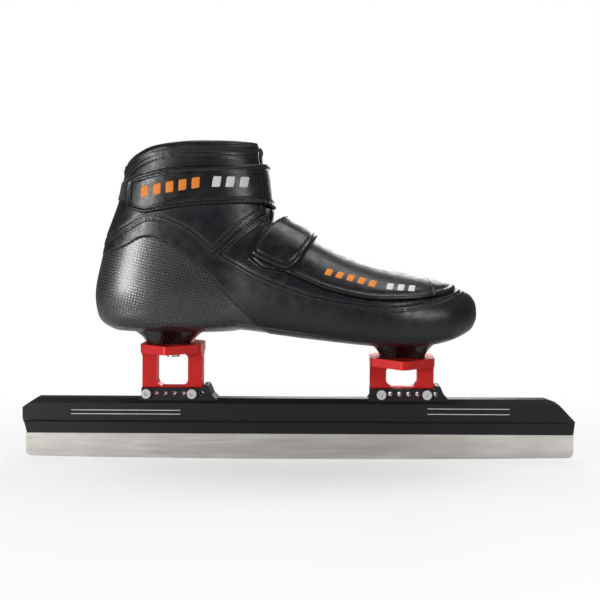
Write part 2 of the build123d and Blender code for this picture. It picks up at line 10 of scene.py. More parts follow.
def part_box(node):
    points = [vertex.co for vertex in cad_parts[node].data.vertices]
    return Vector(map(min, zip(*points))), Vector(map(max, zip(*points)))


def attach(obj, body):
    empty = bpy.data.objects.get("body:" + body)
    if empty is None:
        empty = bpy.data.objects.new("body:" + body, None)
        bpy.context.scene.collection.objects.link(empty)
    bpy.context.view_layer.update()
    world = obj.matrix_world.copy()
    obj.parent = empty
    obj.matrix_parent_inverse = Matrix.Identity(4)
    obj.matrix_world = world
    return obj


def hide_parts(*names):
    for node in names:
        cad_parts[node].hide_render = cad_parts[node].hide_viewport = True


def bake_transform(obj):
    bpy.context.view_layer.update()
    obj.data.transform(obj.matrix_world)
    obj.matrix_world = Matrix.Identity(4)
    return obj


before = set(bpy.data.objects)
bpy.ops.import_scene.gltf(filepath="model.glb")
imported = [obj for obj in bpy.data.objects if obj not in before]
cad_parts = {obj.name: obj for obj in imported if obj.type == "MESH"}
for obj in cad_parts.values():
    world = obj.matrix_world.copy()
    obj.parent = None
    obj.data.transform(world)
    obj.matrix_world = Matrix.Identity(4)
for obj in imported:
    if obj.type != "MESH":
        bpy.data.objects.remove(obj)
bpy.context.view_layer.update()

# Shapes are worked out in millimetres, in the CAD's frame, and become metres when a mesh is made.
MM = 0.001
VOXEL = 1.1


def low(node):
    """Lower corner of a CAD piece."""
    return np.array(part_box(node)[0]) / MM


def high(node):
    """Upper corner of a CAD piece."""
    return np.array(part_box(node)[1]) / MM


# ---------------------------------------------------------------- curves and distances

def smooth_curve(knots, values):
    """Natural cubic spline through (knots, values)."""
    x, y = np.asarray(knots, float), np.asarray(values, float)
    step = np.diff(x)
    slope = np.diff(y) / step
    size = len(x)
    matrix = np.eye(size)
    right = np.zeros(size)
    for i in range(1, size - 1):
        matrix[i, i - 1:i + 2] = step[i - 1], 2 * (step[i - 1] + step[i]), step[i]
        right[i] = 6 * (slope[i] - slope[i - 1])
    bend = np.linalg.solve(matrix, right)

    def evaluate(q):
        i = np.clip(np.searchsorted(x, q) - 1, 0, size - 2)
        h, t = step[i], q - x[i]
        a, b = bend[i], bend[i + 1]
        return y[i] + t * (slope[i] - h * (2 * a + b) / 6) + t * t * a / 2 + t ** 3 * (b - a) / (6 * h)
    return evaluate


def rounded(points, share=0.5, steps=6, closed=False):
    """A smooth line through points (Catmull-Rom)."""
    p = [np.asarray(q, float) for q in points]
    ends = [p[-1]] + p + [p[0], p[1]] if closed else [p[0]] + p + [p[-1]]
    line = []
    for a, b, c, d in zip(ends, ends[1:], ends[2:], ends[3:]):
        speed = share * (c - a)
        bend = 2 * share * a + (share - 3) * b + (3 - 2 * share) * c - share * d
        twist = (2 - share) * b - share * a + (share - 2) * c + share * d
        for t in np.arange(steps) / steps:
            line.append(b + speed * t + bend * t ** 2 + twist * t ** 3)
    if not closed:
        line.append(p[-1])
    return np.array(line)


def inside_distance(u, v, corners):
    """Distance from (u, v) to a closed outline, positive inside it."""
    corners = np.asarray(corners, float)
    nearest = np.full(u.shape, 1e9)
    inside = np.zeros(u.shape, bool)
    for a, b in zip(corners, np.roll(corners, -1, axis=0)):
        edge = b - a
        share = np.clip(((u - a[0]) * edge[0] + (v - a[1]) * edge[1]) / max(edge @ edge, 1e-9), 0, 1)
        nearest = np.minimum(nearest, np.hypot(u - a[0] - share * edge[0], v - a[1] - share * edge[1]))
        crosses = (a[1] > v) != (b[1] > v)
        with np.errstate(divide="ignore", invalid="ignore"):
            at = a[0] + (v - a[1]) / (edge[1] if abs(edge[1]) > 1e-9 else 1e-9) * edge[0]
        inside ^= crosses & (u < at)
    return np.where(inside, nearest, -nearest)


# ---------------------------------------------------------------- the boot's outer form

FOOT = np.array([
    # x, sole, top, half-width outside, half-width inside
    (-120, 106.0, 178.0, 22.0, 21.0),
    (-90, 104.5, 182.0, 27.0, 26.0),
    (-60, 104.0, 186.0, 32.5, 30.0),
    (-30, 101.5, 186.0, 38.5, 34.5),
    (0, 98.0, 172.5, 43.0, 40.5),
    (30, 95.0, 157.5, 47.0, 46.0),
    (60, 92.5, 147.5, 48.5, 50.0),
    (85, 92.2, 142.0, 45.8, 49.5),
    (105, 94.0, 138.0, 39.5, 45.0),
    (120, 98.0, 134.8, 30.8, 37.3),
    (128, 101.4, 132.4, 22.3, 29.3),
    (133.6, 105.6, 129.0, 13.5, 20.5),
    (136, 109.5, 125.5, 7.5, 14.0),
])
ANKLE = np.array([
    # z, back, front, half-width
    (103, -145, -50, 20.0),
    (107, -152.5, -35, 27.0),
    (116, -158.8, -20, 31.5),
    (130, -160.5, -10, 33.3),
    (150, -157.3, -8, 33.3),
    (170, -152.3, -12, 34.3),
    (190, -145.0, -21.5, 34.8),
    (205, -140.0, -25.5, 35.2),
    (220, -137.0, -27.5, 35.5),
    (236, -132.5, -30.0, 37.0),
    (262, -118.0, -32.5, 39.0),
])
# Where the foot is widest, as a share of its height, and how square its sections are: 2 is an ellipse.
WIDEST = 0.42
TOP_SQUARE = 2.15
SOLE_SQUARE = 3.2
ANKLE_SQUARE = 2.3
# The fillet between foot and ankle
JOIN = 6.0
# The form lies this far inside the CAD's outer skin, so that sewn layers end up at its surface.
INSET = 1.3


def foot_field(x, y, z):
    """Roughly the distance outside the foot part."""
    at = np.clip(x, FOOT[0, 0], FOOT[-1, 0])
    sole, top, outside, inside = (smooth_curve(FOOT[:, 0], FOOT[:, i])(at) for i in range(1, 5))
    widest = sole + WIDEST * (top - sole)
    across = y - (inside - outside) / 2
    up = z - widest
    reach = np.where(up > 0, top - widest, widest - sole)
    square = np.where(up > 0, TOP_SQUARE, SOLE_SQUARE)
    wide, tall = np.abs(2 * across / (inside + outside)), np.abs(up / reach)
    stretch = (wide ** square + tall ** square) ** (1 / square)
    from_axis = np.hypot(across, up)
    distance = from_axis * (1 - 1 / np.maximum(stretch, 1e-3))
    beyond = x - at
    return np.where(beyond == 0, distance, np.hypot(np.maximum(distance, 0), beyond))


def ankle_field(x, y, z):
    """Roughly the distance outside the heel and ankle."""
    at = np.clip(z, ANKLE[0, 0], ANKLE[-1, 0])
    back, front, half = (smooth_curve(ANKLE[:, 0], ANKLE[:, i])(at) for i in range(1, 4))
    along = x - (back + front) / 2
    long, wide = np.abs(2 * along / (front - back)), np.abs(y / half)
    stretch = (long ** ANKLE_SQUARE + wide ** ANKLE_SQUARE) ** (1 / ANKLE_SQUARE)
    distance = np.hypot(along, y) * (1 - 1 / np.maximum(stretch, 1e-3))
    beyond = z - at
    return np.where(beyond == 0, distance, np.hypot(np.maximum(distance, 0), beyond))


def melt(a, b, width):
    """Union of two fields with a soft fillet."""
    share = np.clip(0.5 + 0.5 * (b - a) / width, 0, 1)
    return b + (a - b) * share - width * share * (1 - share)


def surface_of(field, start, end, voxel):
    """Mesh of the zero level of a field, as points and triangles."""
    axes = [np.arange(a, b + voxel, voxel) for a, b in zip(start, end)]
    grid = field(*np.meshgrid(*axes, indexing="ij"))
    volume = openvdb.FloatGrid(background=4 * voxel)
    volume.copyFromArray(np.clip(grid, -4 * voxel, 4 * voxel).astype(np.float32))
    points, quads = volume.convertToQuads(isovalue=0.0)
    points = points * voxel + np.asarray(start, float)
    triangles = np.vstack([quads[:, [0, 1, 2]], quads[:, [0, 2, 3]]]).astype(np.int64)
    return points, triangles


def outward(points, triangles):
    """Vertex normals, and the triangles turned so that they face out."""
    a, b, c = (points[triangles[:, i]] for i in range(3))
    facing = np.cross(b - a, c - a)
    volume = np.einsum("ij,ij->", a, facing)
    if volume < 0:
        triangles = triangles[:, ::-1]
        facing = -facing
    normals = np.zeros_like(points)
    for i in range(3):
        np.add.at(normals, triangles[:, i], facing)
    return normals / np.maximum(np.linalg.norm(normals, axis=1, keepdims=True), 1e-9), triangles


def sides_of(triangles):
    """The three sides of every triangle, as pairs of vertices."""
    return np.vstack([triangles[:, [0, 1]], triangles[:, [1, 2]], triangles[:, [2, 0]]])


def relax(points, triangles, rounds, pull):
    """Laplacian smoothing with numpy."""
    pairs = sides_of(triangles)
    count = np.zeros(len(points))
    np.add.at(count, pairs[:, 0], 1)
    np.add.at(count, pairs[:, 1], 1)
    for _ in range(rounds):
        total = np.zeros_like(points)
        np.add.at(total, pairs[:, 0], points[pairs[:, 1]])
        np.add.at(total, pairs[:, 1], points[pairs[:, 0]])
        points = points + pull * (total / count[:, None] - points)
    return points


class Sheet:
    """A surface patch: points, outward normals, triangles, and named values carried on the points."""

    def __init__(self, points, normals, triangles, values=None):
        self.points, self.normals, self.triangles = points, normals, triangles
        self.values = values or {}

    def cut(self, field):
        """The part of the sheet where field is positive, trimmed exactly along its zero line."""
        keep = field > 0
        count = keep[self.triangles].sum(1)
        whole = self.triangles[count == 3]
        crossing, made, extra = {}, [], []

        def between(a, b):
            key = (min(a, b), max(a, b))
            if key not in crossing:
                crossing[key] = len(self.points) + len(made)
                made.append((key[0], key[1], field[key[0]] / (field[key[0]] - field[key[1]])))
            return crossing[key]

        for triangle in self.triangles[(count == 1) | (count == 2)]:
            a, b, c = (int(v) for v in triangle)
            while keep[a] == keep[b] or keep[a] == keep[c]:
                a, b, c = b, c, a
            ab, ac = between(a, b), between(a, c)
            if keep[a]:
                extra.append((a, ab, ac))
            else:
                extra.append((ab, b, c))
                extra.append((ab, c, ac))
        ends = np.array([(m[0], m[1]) for m in made], int).reshape(-1, 2)
        share = np.array([m[2] for m in made]).reshape(-1, 1)

        def carry(data):
            flat = data.reshape(len(data), -1)
            added = flat[ends[:, 0]] * (1 - share) + flat[ends[:, 1]] * share
            return np.vstack([flat, added]).reshape((-1,) + data.shape[1:])

        triangles = np.vstack([whole, np.array(extra, int).reshape(-1, 3)])
        used = np.unique(triangles)
        renumber = np.full(len(self.points) + len(made), -1)
        renumber[used] = np.arange(len(used))
        values = {name: carry(data)[used] for name, data in self.values.items()}
        normals = carry(self.normals)[used]
        normals /= np.maximum(np.linalg.norm(normals, axis=1, keepdims=True), 1e-9)
        return Sheet(carry(self.points)[used], normals, renumber[triangles], values)

    def lifted(self, height):
        """The same sheet, moved along its normals, with normals worked out again."""
        points = self.points + self.normals * np.reshape(height, (-1, 1))
        a, b, c = (points[self.triangles[:, i]] for i in range(3))
        facing = np.cross(b - a, c - a)
        normals = np.zeros_like(points)
        for i in range(3):
            np.add.at(normals, self.triangles[:, i], facing)
        length = np.linalg.norm(normals, axis=1, keepdims=True)
        normals = np.where(length > 1e-9, normals / np.maximum(length, 1e-9), self.normals)
        return Sheet(points, normals, self.triangles, self.values)

    def lines(self, field, level):
        """The lines on the sheet along which field equals level, as lists of (point, normal)."""
        above = (field[self.triangles] - level > 0).sum(1)
        place, links = {}, {}
        for triangle in self.triangles[(above == 1) | (above == 2)]:
            keys = []
            for a, b in ((0, 1), (1, 2), (2, 0)):
                p, q = int(triangle[a]), int(triangle[b])
                if (field[p] - level > 0) == (field[q] - level > 0):
                    continue
                key = (min(p, q), max(p, q))
                if key not in place:
                    t = (field[key[0]] - level) / (field[key[0]] - field[key[1]])
                    place[key] = (self.points[key[0]] * (1 - t) + self.points[key[1]] * t,
                                  self.normals[key[0]] * (1 - t) + self.normals[key[1]] * t)
                keys.append(key)
            if len(keys) == 2:
                links.setdefault(keys[0], []).append(keys[1])
                links.setdefault(keys[1], []).append(keys[0])
        chains, seen = [], set()
        for start in sorted(links, key=lambda k: (len(links[k]), k)):
            if start in seen:
                continue
            chain, here = [start], start
            seen.add(start)
            while True:
                ahead = [k for k in links[here] if k not in seen]
                if not ahead:
                    break
                here = ahead[0]
                seen.add(here)
                chain.append(here)
            if start in links.get(chain[-1], []) and len(chain) > 4:
                chain.append(start)
            chains.append([place[k] for k in chain])
        return chains


def make_boot():
    """The form that every layer of the boot is laid on."""
    def boot(x, y, z):
        return melt(foot_field(x, y, z), ankle_field(x, y, z), JOIN) + INSET
    start, end = (-170, -58, 84), (146, 60, 268)
    points, triangles = surface_of(boot, start, end, VOXEL)
    points = relax(points, triangles, 6, 0.45)
    normals, triangles = outward(points, triangles)
    return Sheet(points, normals, triangles)


# ---------------------------------------------------------------- making objects

def new_object(name, points, faces, body, material, replaced=(), smooth=True):
    """A mesh piece that rides on body, or that is handed to body(piece) when body is a function."""
    mesh = bpy.data.meshes.new(name)
    mesh.from_pydata((np.asarray(points) * MM).tolist(), [], [list(map(int, f)) for f in faces])
    mesh.validate()
    mesh.polygons.foreach_set("use_smooth", [smooth] * len(mesh.polygons))
    mesh.materials.append(material)
    piece = bpy.data.objects.new(name, mesh)
    bpy.context.scene.collection.objects.link(piece)
    if callable(body):
        body(piece)
    else:
        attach(piece, body)
    if replaced:
        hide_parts(*replaced)
    return piece


def open_edges(triangles):
    """Vertices on the rim of a sheet."""
    unique, count = np.unique(np.sort(sides_of(triangles), axis=1), axis=0, return_counts=True)
    return np.unique(unique[count == 1])


# ---------------------------------------------------------------- materials

class Paint:
    """A small helper that builds a node material."""

    def __init__(self, name, colour, roughness, metallic=0.0, coat=0.0):
        self.material = bpy.data.materials.new(name)
        self.material.use_nodes = True
        self.tree = self.material.node_tree
        self.shader = self.tree.nodes["Principled BSDF"]
        self.set("Base Color", (*colour, 1))
        self.set("Roughness", roughness)
        self.set("Metallic", metallic)
        self.set("Coat Weight", coat)
        self.place = self.add("ShaderNodeTexCoord").outputs["Object"]

    def add(self, kind, **settings):
        node = self.tree.nodes.new(kind)
        for key, value in settings.items():
            setattr(node, key, value)
        return node

    def set(self, socket, value):
        """Give an input of the shader a value, or the output of another node."""
        target = self.shader.inputs[socket]
        if isinstance(value, bpy.types.NodeSocket):
            self.link(value, target)
        else:
            target.default_value = value

    def link(self, source, target):
        self.tree.links.new(source, target)

    def maths(self, operation, *values):
        node = self.add("ShaderNodeMath", operation=operation)
        for i, value in enumerate(values):
            if isinstance(value, (int, float)):
                node.inputs[i].default_value = value
            else:
                self.link(value, node.inputs[i])
        return node.outputs[0]

    def stretched(self, scale):
        node = self.add("ShaderNodeMapping")
        node.inputs["Scale"].default_value = scale
        self.link(self.place, node.inputs["Vector"])
        return node.outputs[0]

    def noise(self, scale, detail=4.0, vector=None):
        node = self.add("ShaderNodeTexNoise")
        node.inputs["Scale"].default_value = scale
        node.inputs["Detail"].default_value = detail
        self.link(vector or self.place, node.inputs["Vector"])
        return node.outputs["Fac"]

    def cells(self, scale):
        node = self.add("ShaderNodeTexVoronoi")
        node.inputs["Scale"].default_value = scale
        self.link(self.place, node.inputs["Vector"])
        return node.outputs["Distance"]

    def spread(self, value, low_to, high_to, low_from=0.0, high_from=1.0):
        node = self.add("ShaderNodeMapRange")
        self.link(value, node.inputs["Value"])
        limits = {"From Min": low_from, "From Max": high_from, "To Min": low_to, "To Max": high_to}
        for name, number in limits.items():
            node.inputs[name].default_value = number
        return node.outputs[0]

    def mix(self, value, dark, light):
        node = self.add("ShaderNodeMix", data_type="RGBA")
        self.link(value, node.inputs["Factor"])
        node.inputs["A"].default_value = (*dark, 1)
        node.inputs["B"].default_value = (*light, 1)
        return node.outputs["Result"]

    def bump(self, value, strength, depth):
        node = self.add("ShaderNodeBump")
        node.inputs["Strength"].default_value = strength
        node.inputs["Distance"].default_value = depth
        self.link(value, node.inputs["Height"])
        previous = self.shader.inputs["Normal"].links
        if previous:
            self.link(previous[0].from_socket, node.inputs["Normal"])
        self.set("Normal", node.outputs[0])


def leather(name="leather", colour=(0.0042, 0.0046, 0.0068), roughness=0.34):
    """Smooth black leather: fine pebble grain, soft creases, uneven sheen."""
    paint = Paint(name, colour, roughness)
    worn = tuple(c * 1.6 + 0.0008 for c in colour)
    broad = paint.spread(paint.noise(28.0, 3.0), 0, 1, 0.3, 0.7)
    paint.set("Base Color", paint.mix(broad, colour, worn))
    sheen = paint.spread(paint.noise(140.0, 5.0), roughness - 0.07, roughness + 0.13, 0.3, 0.7)
    paint.set("Roughness", sheen)
    paint.bump(paint.cells(1500.0), 0.35, 0.00012)
    paint.bump(paint.noise(420.0, 3.0), 0.3, 0.0002)
    paint.bump(paint.noise(55.0, 2.0), 0.35, 0.0010)
    return paint.material


def carbon_fibre(name, relief, light):
    """Lacquered carbon cloth: tows that pass over and under each other, seen through a clear coat, with
    painted sheen: over-tows and the crowns of the tows are coloured lighter in place of their reflections.
    """
    paint = Paint(name, (0.02, 0.02, 0.022), 0.34, 0.0, 0.7)
    paint.set("Coat Roughness", 0.24)
    unwrap = paint.add("ShaderNodeUVMap", uv_map="weave").outputs[0]
    split = paint.add("ShaderNodeSeparateXYZ")
    paint.link(unwrap, split.inputs[0])
    u, v = split.outputs[0], split.outputs[1]
    column, row = paint.maths("FLOOR", u), paint.maths("FLOOR", v)
    step = paint.maths("MODULO", paint.maths("ADD", paint.maths("ADD", column, row), 4000.0), 2.0)
    over = paint.maths("LESS_THAN", step, 0.5)
    tows = []
    for place, seen in ((u, over), (v, paint.maths("SUBTRACT", 1.0, over))):
        off_middle = paint.maths("ABSOLUTE", paint.maths("SUBTRACT", paint.maths("FRACT", place), 0.5))
        tows.append(paint.maths("MULTIPLY", paint.maths("SUBTRACT", 0.5, off_middle), seen))
    height = paint.maths("ADD", *tows)
    # Painted sheen: the weave pattern sets where, and the over-tows and tow crowns are painted lighter (up
    # to light) to stand in for the tows' reflections.
    weave_and_sheen = paint.maths("ADD", paint.maths("MULTIPLY", over, 0.55), paint.maths("MULTIPLY", height, 0.8))
    cloth = paint.mix(weave_and_sheen, (0.002, 0.002, 0.003), (light, light, 1.13 * light))
    paint.set("Base Color", cloth)
    paint.set("Roughness", paint.spread(over, 0.26, 0.46))
    paint.bump(height, relief, 0.0004)
    return paint.material


def brushed_steel():
    """Ground runner: long fine scratches and an uneven, patchy colour."""
    paint = Paint("ground_steel", (0.74, 0.72, 0.68), 0.36, 1.0)
    paint.set("Anisotropic", 0.5)
    grain = paint.noise(900.0, 3.0, paint.stretched((0.03, 1.0, 1.0)))
    paint.set("Roughness", paint.spread(grain, 0.28, 0.48, 0.3, 0.7))
    patch = paint.spread(paint.noise(60.0, 4.0, paint.stretched((0.35, 1.0, 1.6))), 0, 1, 0.35, 0.7)
    paint.set("Base Color", paint.mix(patch, (0.78, 0.75, 0.70), (0.95, 0.93, 0.89)))
    paint.bump(grain, 0.12, 0.00005)
    return paint.material


def anodised(name, colour, roughness, metallic):
    """Anodised aluminium with fine machining lines and a slightly uneven colour."""
    paint = Paint(name, colour, roughness, metallic)
    lines = paint.noise(1100.0, 2.0, paint.stretched((0.06, 1.0, 1.0)))
    sheen = paint.spread(lines, roughness - 0.06, roughness + 0.1, 0.3, 0.7)
    paint.set("Roughness", sheen)
    patch = paint.spread(paint.noise(90.0, 3.0), 0, 1, 0.3, 0.7)
    paint.set("Base Color", paint.mix(patch, tuple(0.85 * c for c in colour), colour))
    paint.bump(lines, 0.08, 0.00005)
    return paint.material


def bright_steel():
    """Plated bolts and nuts."""
    paint = Paint("bolt_steel", (0.82, 0.82, 0.81), 0.25, 1.0)
    paint.set("Roughness", paint.spread(paint.noise(700.0), 0.18, 0.36, 0.3, 0.7))
    paint.bump(paint.noise(2500.0, 2.0), 0.08, 0.00004)
    return paint.material


def woven(name, colour, pitch, roughness=0.85):
    """Plain knit or woven cloth."""
    paint = Paint(name, colour, roughness)
    waves = []
    for direction in ("Z", "DIAGONAL"):
        wave = paint.add("ShaderNodeTexWave", wave_type="BANDS", bands_direction=direction)
        wave.inputs["Scale"].default_value = 1 / pitch
        paint.link(paint.place, wave.inputs["Vector"])
        waves.append(wave.outputs["Fac"])
    weave = paint.maths("MULTIPLY", *waves)
    dark, light = (tuple(c * share for c in colour) for share in (0.6, 1.6))
    paint.set("Base Color", paint.mix(weave, dark, light))
    paint.set("Sheen Weight", 0.25)
    paint.bump(weave, 0.5, 0.0003)
    return paint.material


def plastic(name, colour, roughness):
    """Moulded plastic with a fine texture."""
    paint = Paint(name, colour, roughness)
    paint.bump(paint.noise(900.0), 0.2, 0.0001)
    return paint.material


def thread(name, colour):
    """Waxed thread, or matt ink."""
    paint = Paint(name, colour, 0.6)
    paint.bump(paint.noise(3000.0, 2.0), 0.3, 0.0001)
    return paint.material


LEATHER = leather()
LEATHER_STRAP = leather("leather_strap", (0.0040, 0.0040, 0.0055), 0.31)
# The last number given to carbon_fibre is the brightness of the painted sheen on its tows.
CARBON = carbon_fibre("carbon_cloth", 0.5, 0.030)
CARBON_SMOOTH = carbon_fibre("carbon_smooth", 0.06, 0.008)
STEEL = brushed_steel()
BOLT = bright_steel()
TUBE = anodised("tube_black", (0.011, 0.011, 0.013), 0.40, 0.3)
RED = anodised("cup_red", (0.72, 0.016, 0.012), 0.36, 0.35)
LINING = woven("lining_knit", (0.030, 0.030, 0.033), 0.0012)
INSOLE = woven("insole_cloth", (0.05, 0.05, 0.055), 0.0010)
HOOK = woven("hook_tape", (0.006, 0.006, 0.007), 0.0008, 0.95)
CORD = woven("lace_cord", (0.016, 0.016, 0.018), 0.0006, 0.7)
PLUG = plastic("plug_black", (0.02, 0.02, 0.02), 0.55)
NICKEL = anodised("black_nickel", (0.34, 0.34, 0.35), 0.28, 0.9)
THREAD = thread("stitch_thread", (0.060, 0.060, 0.068))
ORANGE = thread("orange_print", (0.85, 0.25, 0.015))
WHITE = thread("white_print", (0.72, 0.72, 0.72))

# ---------------------------------------------------------------- the boot's lines, seen from the side

CARBON_LINE = [
    (-170, 157), (-153.7, 161.3), (-132, 168), (-119, 174.6), (-108.6, 175.3), (-97, 171),
    (-85.8, 163.8), (-64, 145.4), (-42.3, 121.6), (-23, 103.6), (-14, 90),
]
HEEL_SEAM = [
    (-170, 160), (-150, 167.7), (-128.4, 178), (-116.8, 184.6), (-108, 186), (-96.7, 183.4),
    (-79, 173.7), (-65, 160.5),
]
SIDE_SEAM = [
    (-65, 160.5), (-48, 150.5), (-29, 141), (1.5, 130), (15, 126.6), (32, 123.4), (61, 119.8), (75, 119.6),
    (89, 120.9), (100, 122.7), (109, 124.5), (119, 127.2), (128, 130.4), (136, 134), (146, 140),
]
FLEX_LINE = [(-65, 160.5), (-48.2, 176.6), (-38.5, 184.1), (-24.7, 194), (-4, 203)]
COLLAR_LINE = [
    (-14, 247.2), (-32, 247.2), (-58, 246.4), (-86.4, 245.6), (-108, 242.6), (-122, 237.2), (-134, 231),
    (-155, 227.5),
]
COLLAR_SEAM = [(-14, 237), (-33, 237), (-83, 237), (-105.5, 234.6), (-122, 227.8), (-134, 219), (-155, 206)]
COVER_LINE = [
    (-14, 150), (-1.5, 145), (9.9, 140.2), (21.3, 135.6), (44.1, 129.6), (61.1, 127.3), (83.9, 126.9),
    (96, 127.8), (108, 129.4), (117, 131.6), (122.5, 134.6), (125.3, 138.6), (126.3, 144),
]
ANKLE_STRAP = [
    (-128, 201), (-127.6, 213), (-124.5, 218.6), (-99.4, 225.8), (-76, 227.6), (-48, 228.8), (-10, 230.5),
    (-10, 189.0), (-20, 191.5), (-25, 195.6), (-31, 199.0), (-48, 199.8), (-76, 198.4), (-95.7, 195.7),
    (-113.5, 192.2), (-124, 194.6), (-127.4, 197),
]
INSTEP_STRAP = [
    (-16, 208), (17, 208), (16.5, 181), (10.8, 171.5), (5.0, 161), (2.0, 156), (-2.0, 151.6), (-6.5, 149.6),
    (-12, 150), (-30.5, 158), (-33.5, 161.5), (-28.5, 173), (-21, 187),
]
INSTEP_TAB = [(-38, 158), (-27, 150), (-7, 146), (-4, 156), (-14, 168), (-27, 170)]
HEEL_STOP_X = -104.0

boot = make_boot()
px, py, pz = boot.points.T


def region(*outline):
    """Distance inside an outline of the side view, on every point of the boot."""
    return inside_distance(px, pz, np.vstack([np.asarray(o, float).reshape(-1, 2) for o in outline]))


carbon_area = region(rounded(CARBON_LINE), [(-14, 70), (-190, 70), (-190, 157)])
heel_and_flex = np.vstack([rounded(HEEL_SEAM), rounded(FLEX_LINE)[1:]])
above_heel_seam = region(heel_and_flex, [(0, 300), (-190, 300), (-190, 160)])
above_side_seam = region(rounded(SIDE_SEAM), [(160, 300), (0, 300)], rounded(FLEX_LINE)[:0:-1])
above_collar_seam = region(rounded(COLLAR_SEAM), [(-190, 206), (-190, 300), (-14, 300)])
under_collar = region(rounded(COLLAR_LINE), [(-200, 228), (-200, 60), (170, 60), (170, 252.5)])
slot_half = np.interp(px, [-60, 60, 78, 84], [13.5, 13.5, 9.0, 0.0])
outside_slot = np.maximum(np.abs(py) - slot_half, px - 84)
outside_slot = np.where((pz < 130) | (px < -62), 60.0, outside_slot)


def ramp(value, start, end):
    """Rises smoothly from 0 at start to 1 at end."""
    share = np.clip((value - start) / (end - start), 0, 1)
    return share * share * (3 - 2 * share)


def layer_field(sheet, name, field, values):
    """The sheet with values, given on the whole form, carried onto it under that name."""
    whole = Sheet(boot.points, boot.normals, boot.triangles, {name: values})
    sheet.values[name] = whole.cut(field).values[name]
    return sheet


def grooves(field, rows, depth=0.65, half=0.75):
    """The channels that rows of stitching pull into a piece."""
    return -depth * sum(np.exp(-((field - row) / half) ** 2) for row in rows)


def bound_edge(field, width, height):
    """A raised binding along a rim, with the groove of its stitching."""
    return height * (1 - ramp(field, width - 1.1, width - 0.2)) + grooves(field, (width,))


def skin(name, field, seam, above, below, edge, body, material, replaced=(), rise=0.0, crown=0.0):
    """One layer of the boot: a closed skin over the part of the form where field is positive.

    seam is the height of its rim over the form. above and below are its reach to either side of that height
    further in than edge. rise lifts the whole layer, crown only its outer face.
    """
    zero = np.zeros(len(px))
    values = {"rim": field, "rise": zero + rise, "crown": zero + crown}
    whole = Sheet(boot.points, boot.normals, boot.triangles, values)
    sheet = whole.cut(field)
    rim = np.clip(sheet.values["rim"] / edge, 0, 1)
    roll = np.sqrt(np.clip(1 - (1 - rim) ** 2, 0, 1))
    lift = seam + sheet.values["rise"]
    top = sheet.lifted(lift + (above + sheet.values["crown"]) * roll)
    under = sheet.points + sheet.normals * (lift - below * roll)[:, None]
    inner = np.ones(len(top.points), bool)
    inner[open_edges(sheet.triangles)] = False
    under_index = np.arange(len(top.points))
    under_index[inner] = len(top.points) + np.arange(inner.sum())
    points = np.vstack([top.points, under[inner]])
    faces = np.vstack([sheet.triangles, under_index[sheet.triangles][:, ::-1]])
    return new_object(name, points, faces, body, material, replaced), top


def weave_map(piece, pitch=1.55, turn=math.radians(32)):
    """Lay the carbon cloth round the heel: u runs round it, v up it; under the sole u and v lie flat."""
    cos_turn, sin_turn = math.cos(turn), math.sin(turn)
    mesh = piece.data
    layer = mesh.uv_layers.new(name="weave")
    spots = np.array([v.co for v in mesh.vertices]) / MM
    heel_x, heel_r = -112.0, 33.0
    ahead = spots[:, 0] - heel_x
    round_heel = -heel_r * np.arctan2(-spots[:, 1], -ahead)
    along_side = np.sign(spots[:, 1]) * (heel_r * math.pi / 2 + ahead)
    around = np.where(ahead < 0, round_heel, along_side)
    for polygon in mesh.polygons:
        flat = abs(polygon.normal.z) > 0.8
        for loop in polygon.loop_indices:
            corner = mesh.loops[loop].vertex_index
            x, y, z = spots[corner]
            u, v = (x, y) if flat else (around[corner], z)
            turned_u, turned_v = u * cos_turn - v * sin_turn, u * sin_turn + v * cos_turn
            layer.data[loop].uv = (turned_u / pitch, turned_v / pitch)


# ---------------------------------------------------------------- sewing and printing

def stitches(name, chains, body):
    """A row of raised stitches along each chain of (point, normal)."""
    pitch, length, width, height = 3.1, 2.1, 0.62, 0.42
    sides = 6
    stations = ((-0.5, 0.25), (-0.36, 0.85), (0.0, 1.0), (0.36, 0.85), (0.5, 0.25))
    points, faces = [], []
    for chain in chains:
        spots = np.array([spot for spot, normal in chain])
        normals = np.array([normal for spot, normal in chain])
        run = np.concatenate([[0], np.cumsum(np.linalg.norm(np.diff(spots, axis=0), axis=1))])

        def between(at, values):
            return np.array([np.interp(at, run, values[:, i]) for i in range(3)])

        for at in np.arange(pitch / 2, run[-1] - pitch / 2, pitch):
            here, normal = between(at, spots), between(at, normals)
            along = between(at + 0.8, spots) - between(at - 0.8, spots)
            if np.linalg.norm(along) < 0.4:
                continue
            along /= np.linalg.norm(along)
            side = np.cross(normal, along)
            side /= max(np.linalg.norm(side), 1e-9)
            first = len(points)
            for reach, size in stations:
                for k in range(sides):
                    turn = 2 * math.pi * k / sides
                    wide, high_up = math.cos(turn) * size * width / 2, math.sin(turn) * size * height + 0.05
                    points.append(here + along * reach * length + side * wide + normal * high_up)
            for ring in range(len(stations) - 1):
                for k in range(sides):
                    a, b = first + ring * sides + k, first + ring * sides + (k + 1) % sides
                    faces.append((a, b, b + sides, a + sides))
            faces.append([first + k for k in range(sides)][::-1])
            faces.append([first + (len(stations) - 1) * sides + k for k in range(sides)])
    new_object(name, points, faces, body, THREAD)


def sewn(name, sheet, levels, body, keep=None):
    """Rows of stitches on a sheet, each at its own distance inside the sheet's rim."""
    chains = []
    for level in levels:
        for chain in sheet.lines(sheet.values["rim"], level):
            part = []
            for spot, normal in chain:
                if keep is None or keep(*spot):
                    part.append((spot, normal))
                elif len(part) > 4:
                    chains.append(part)
                    part = []
            if len(part) > 4:
                chains.append(part)
    stitches(name, chains, body)


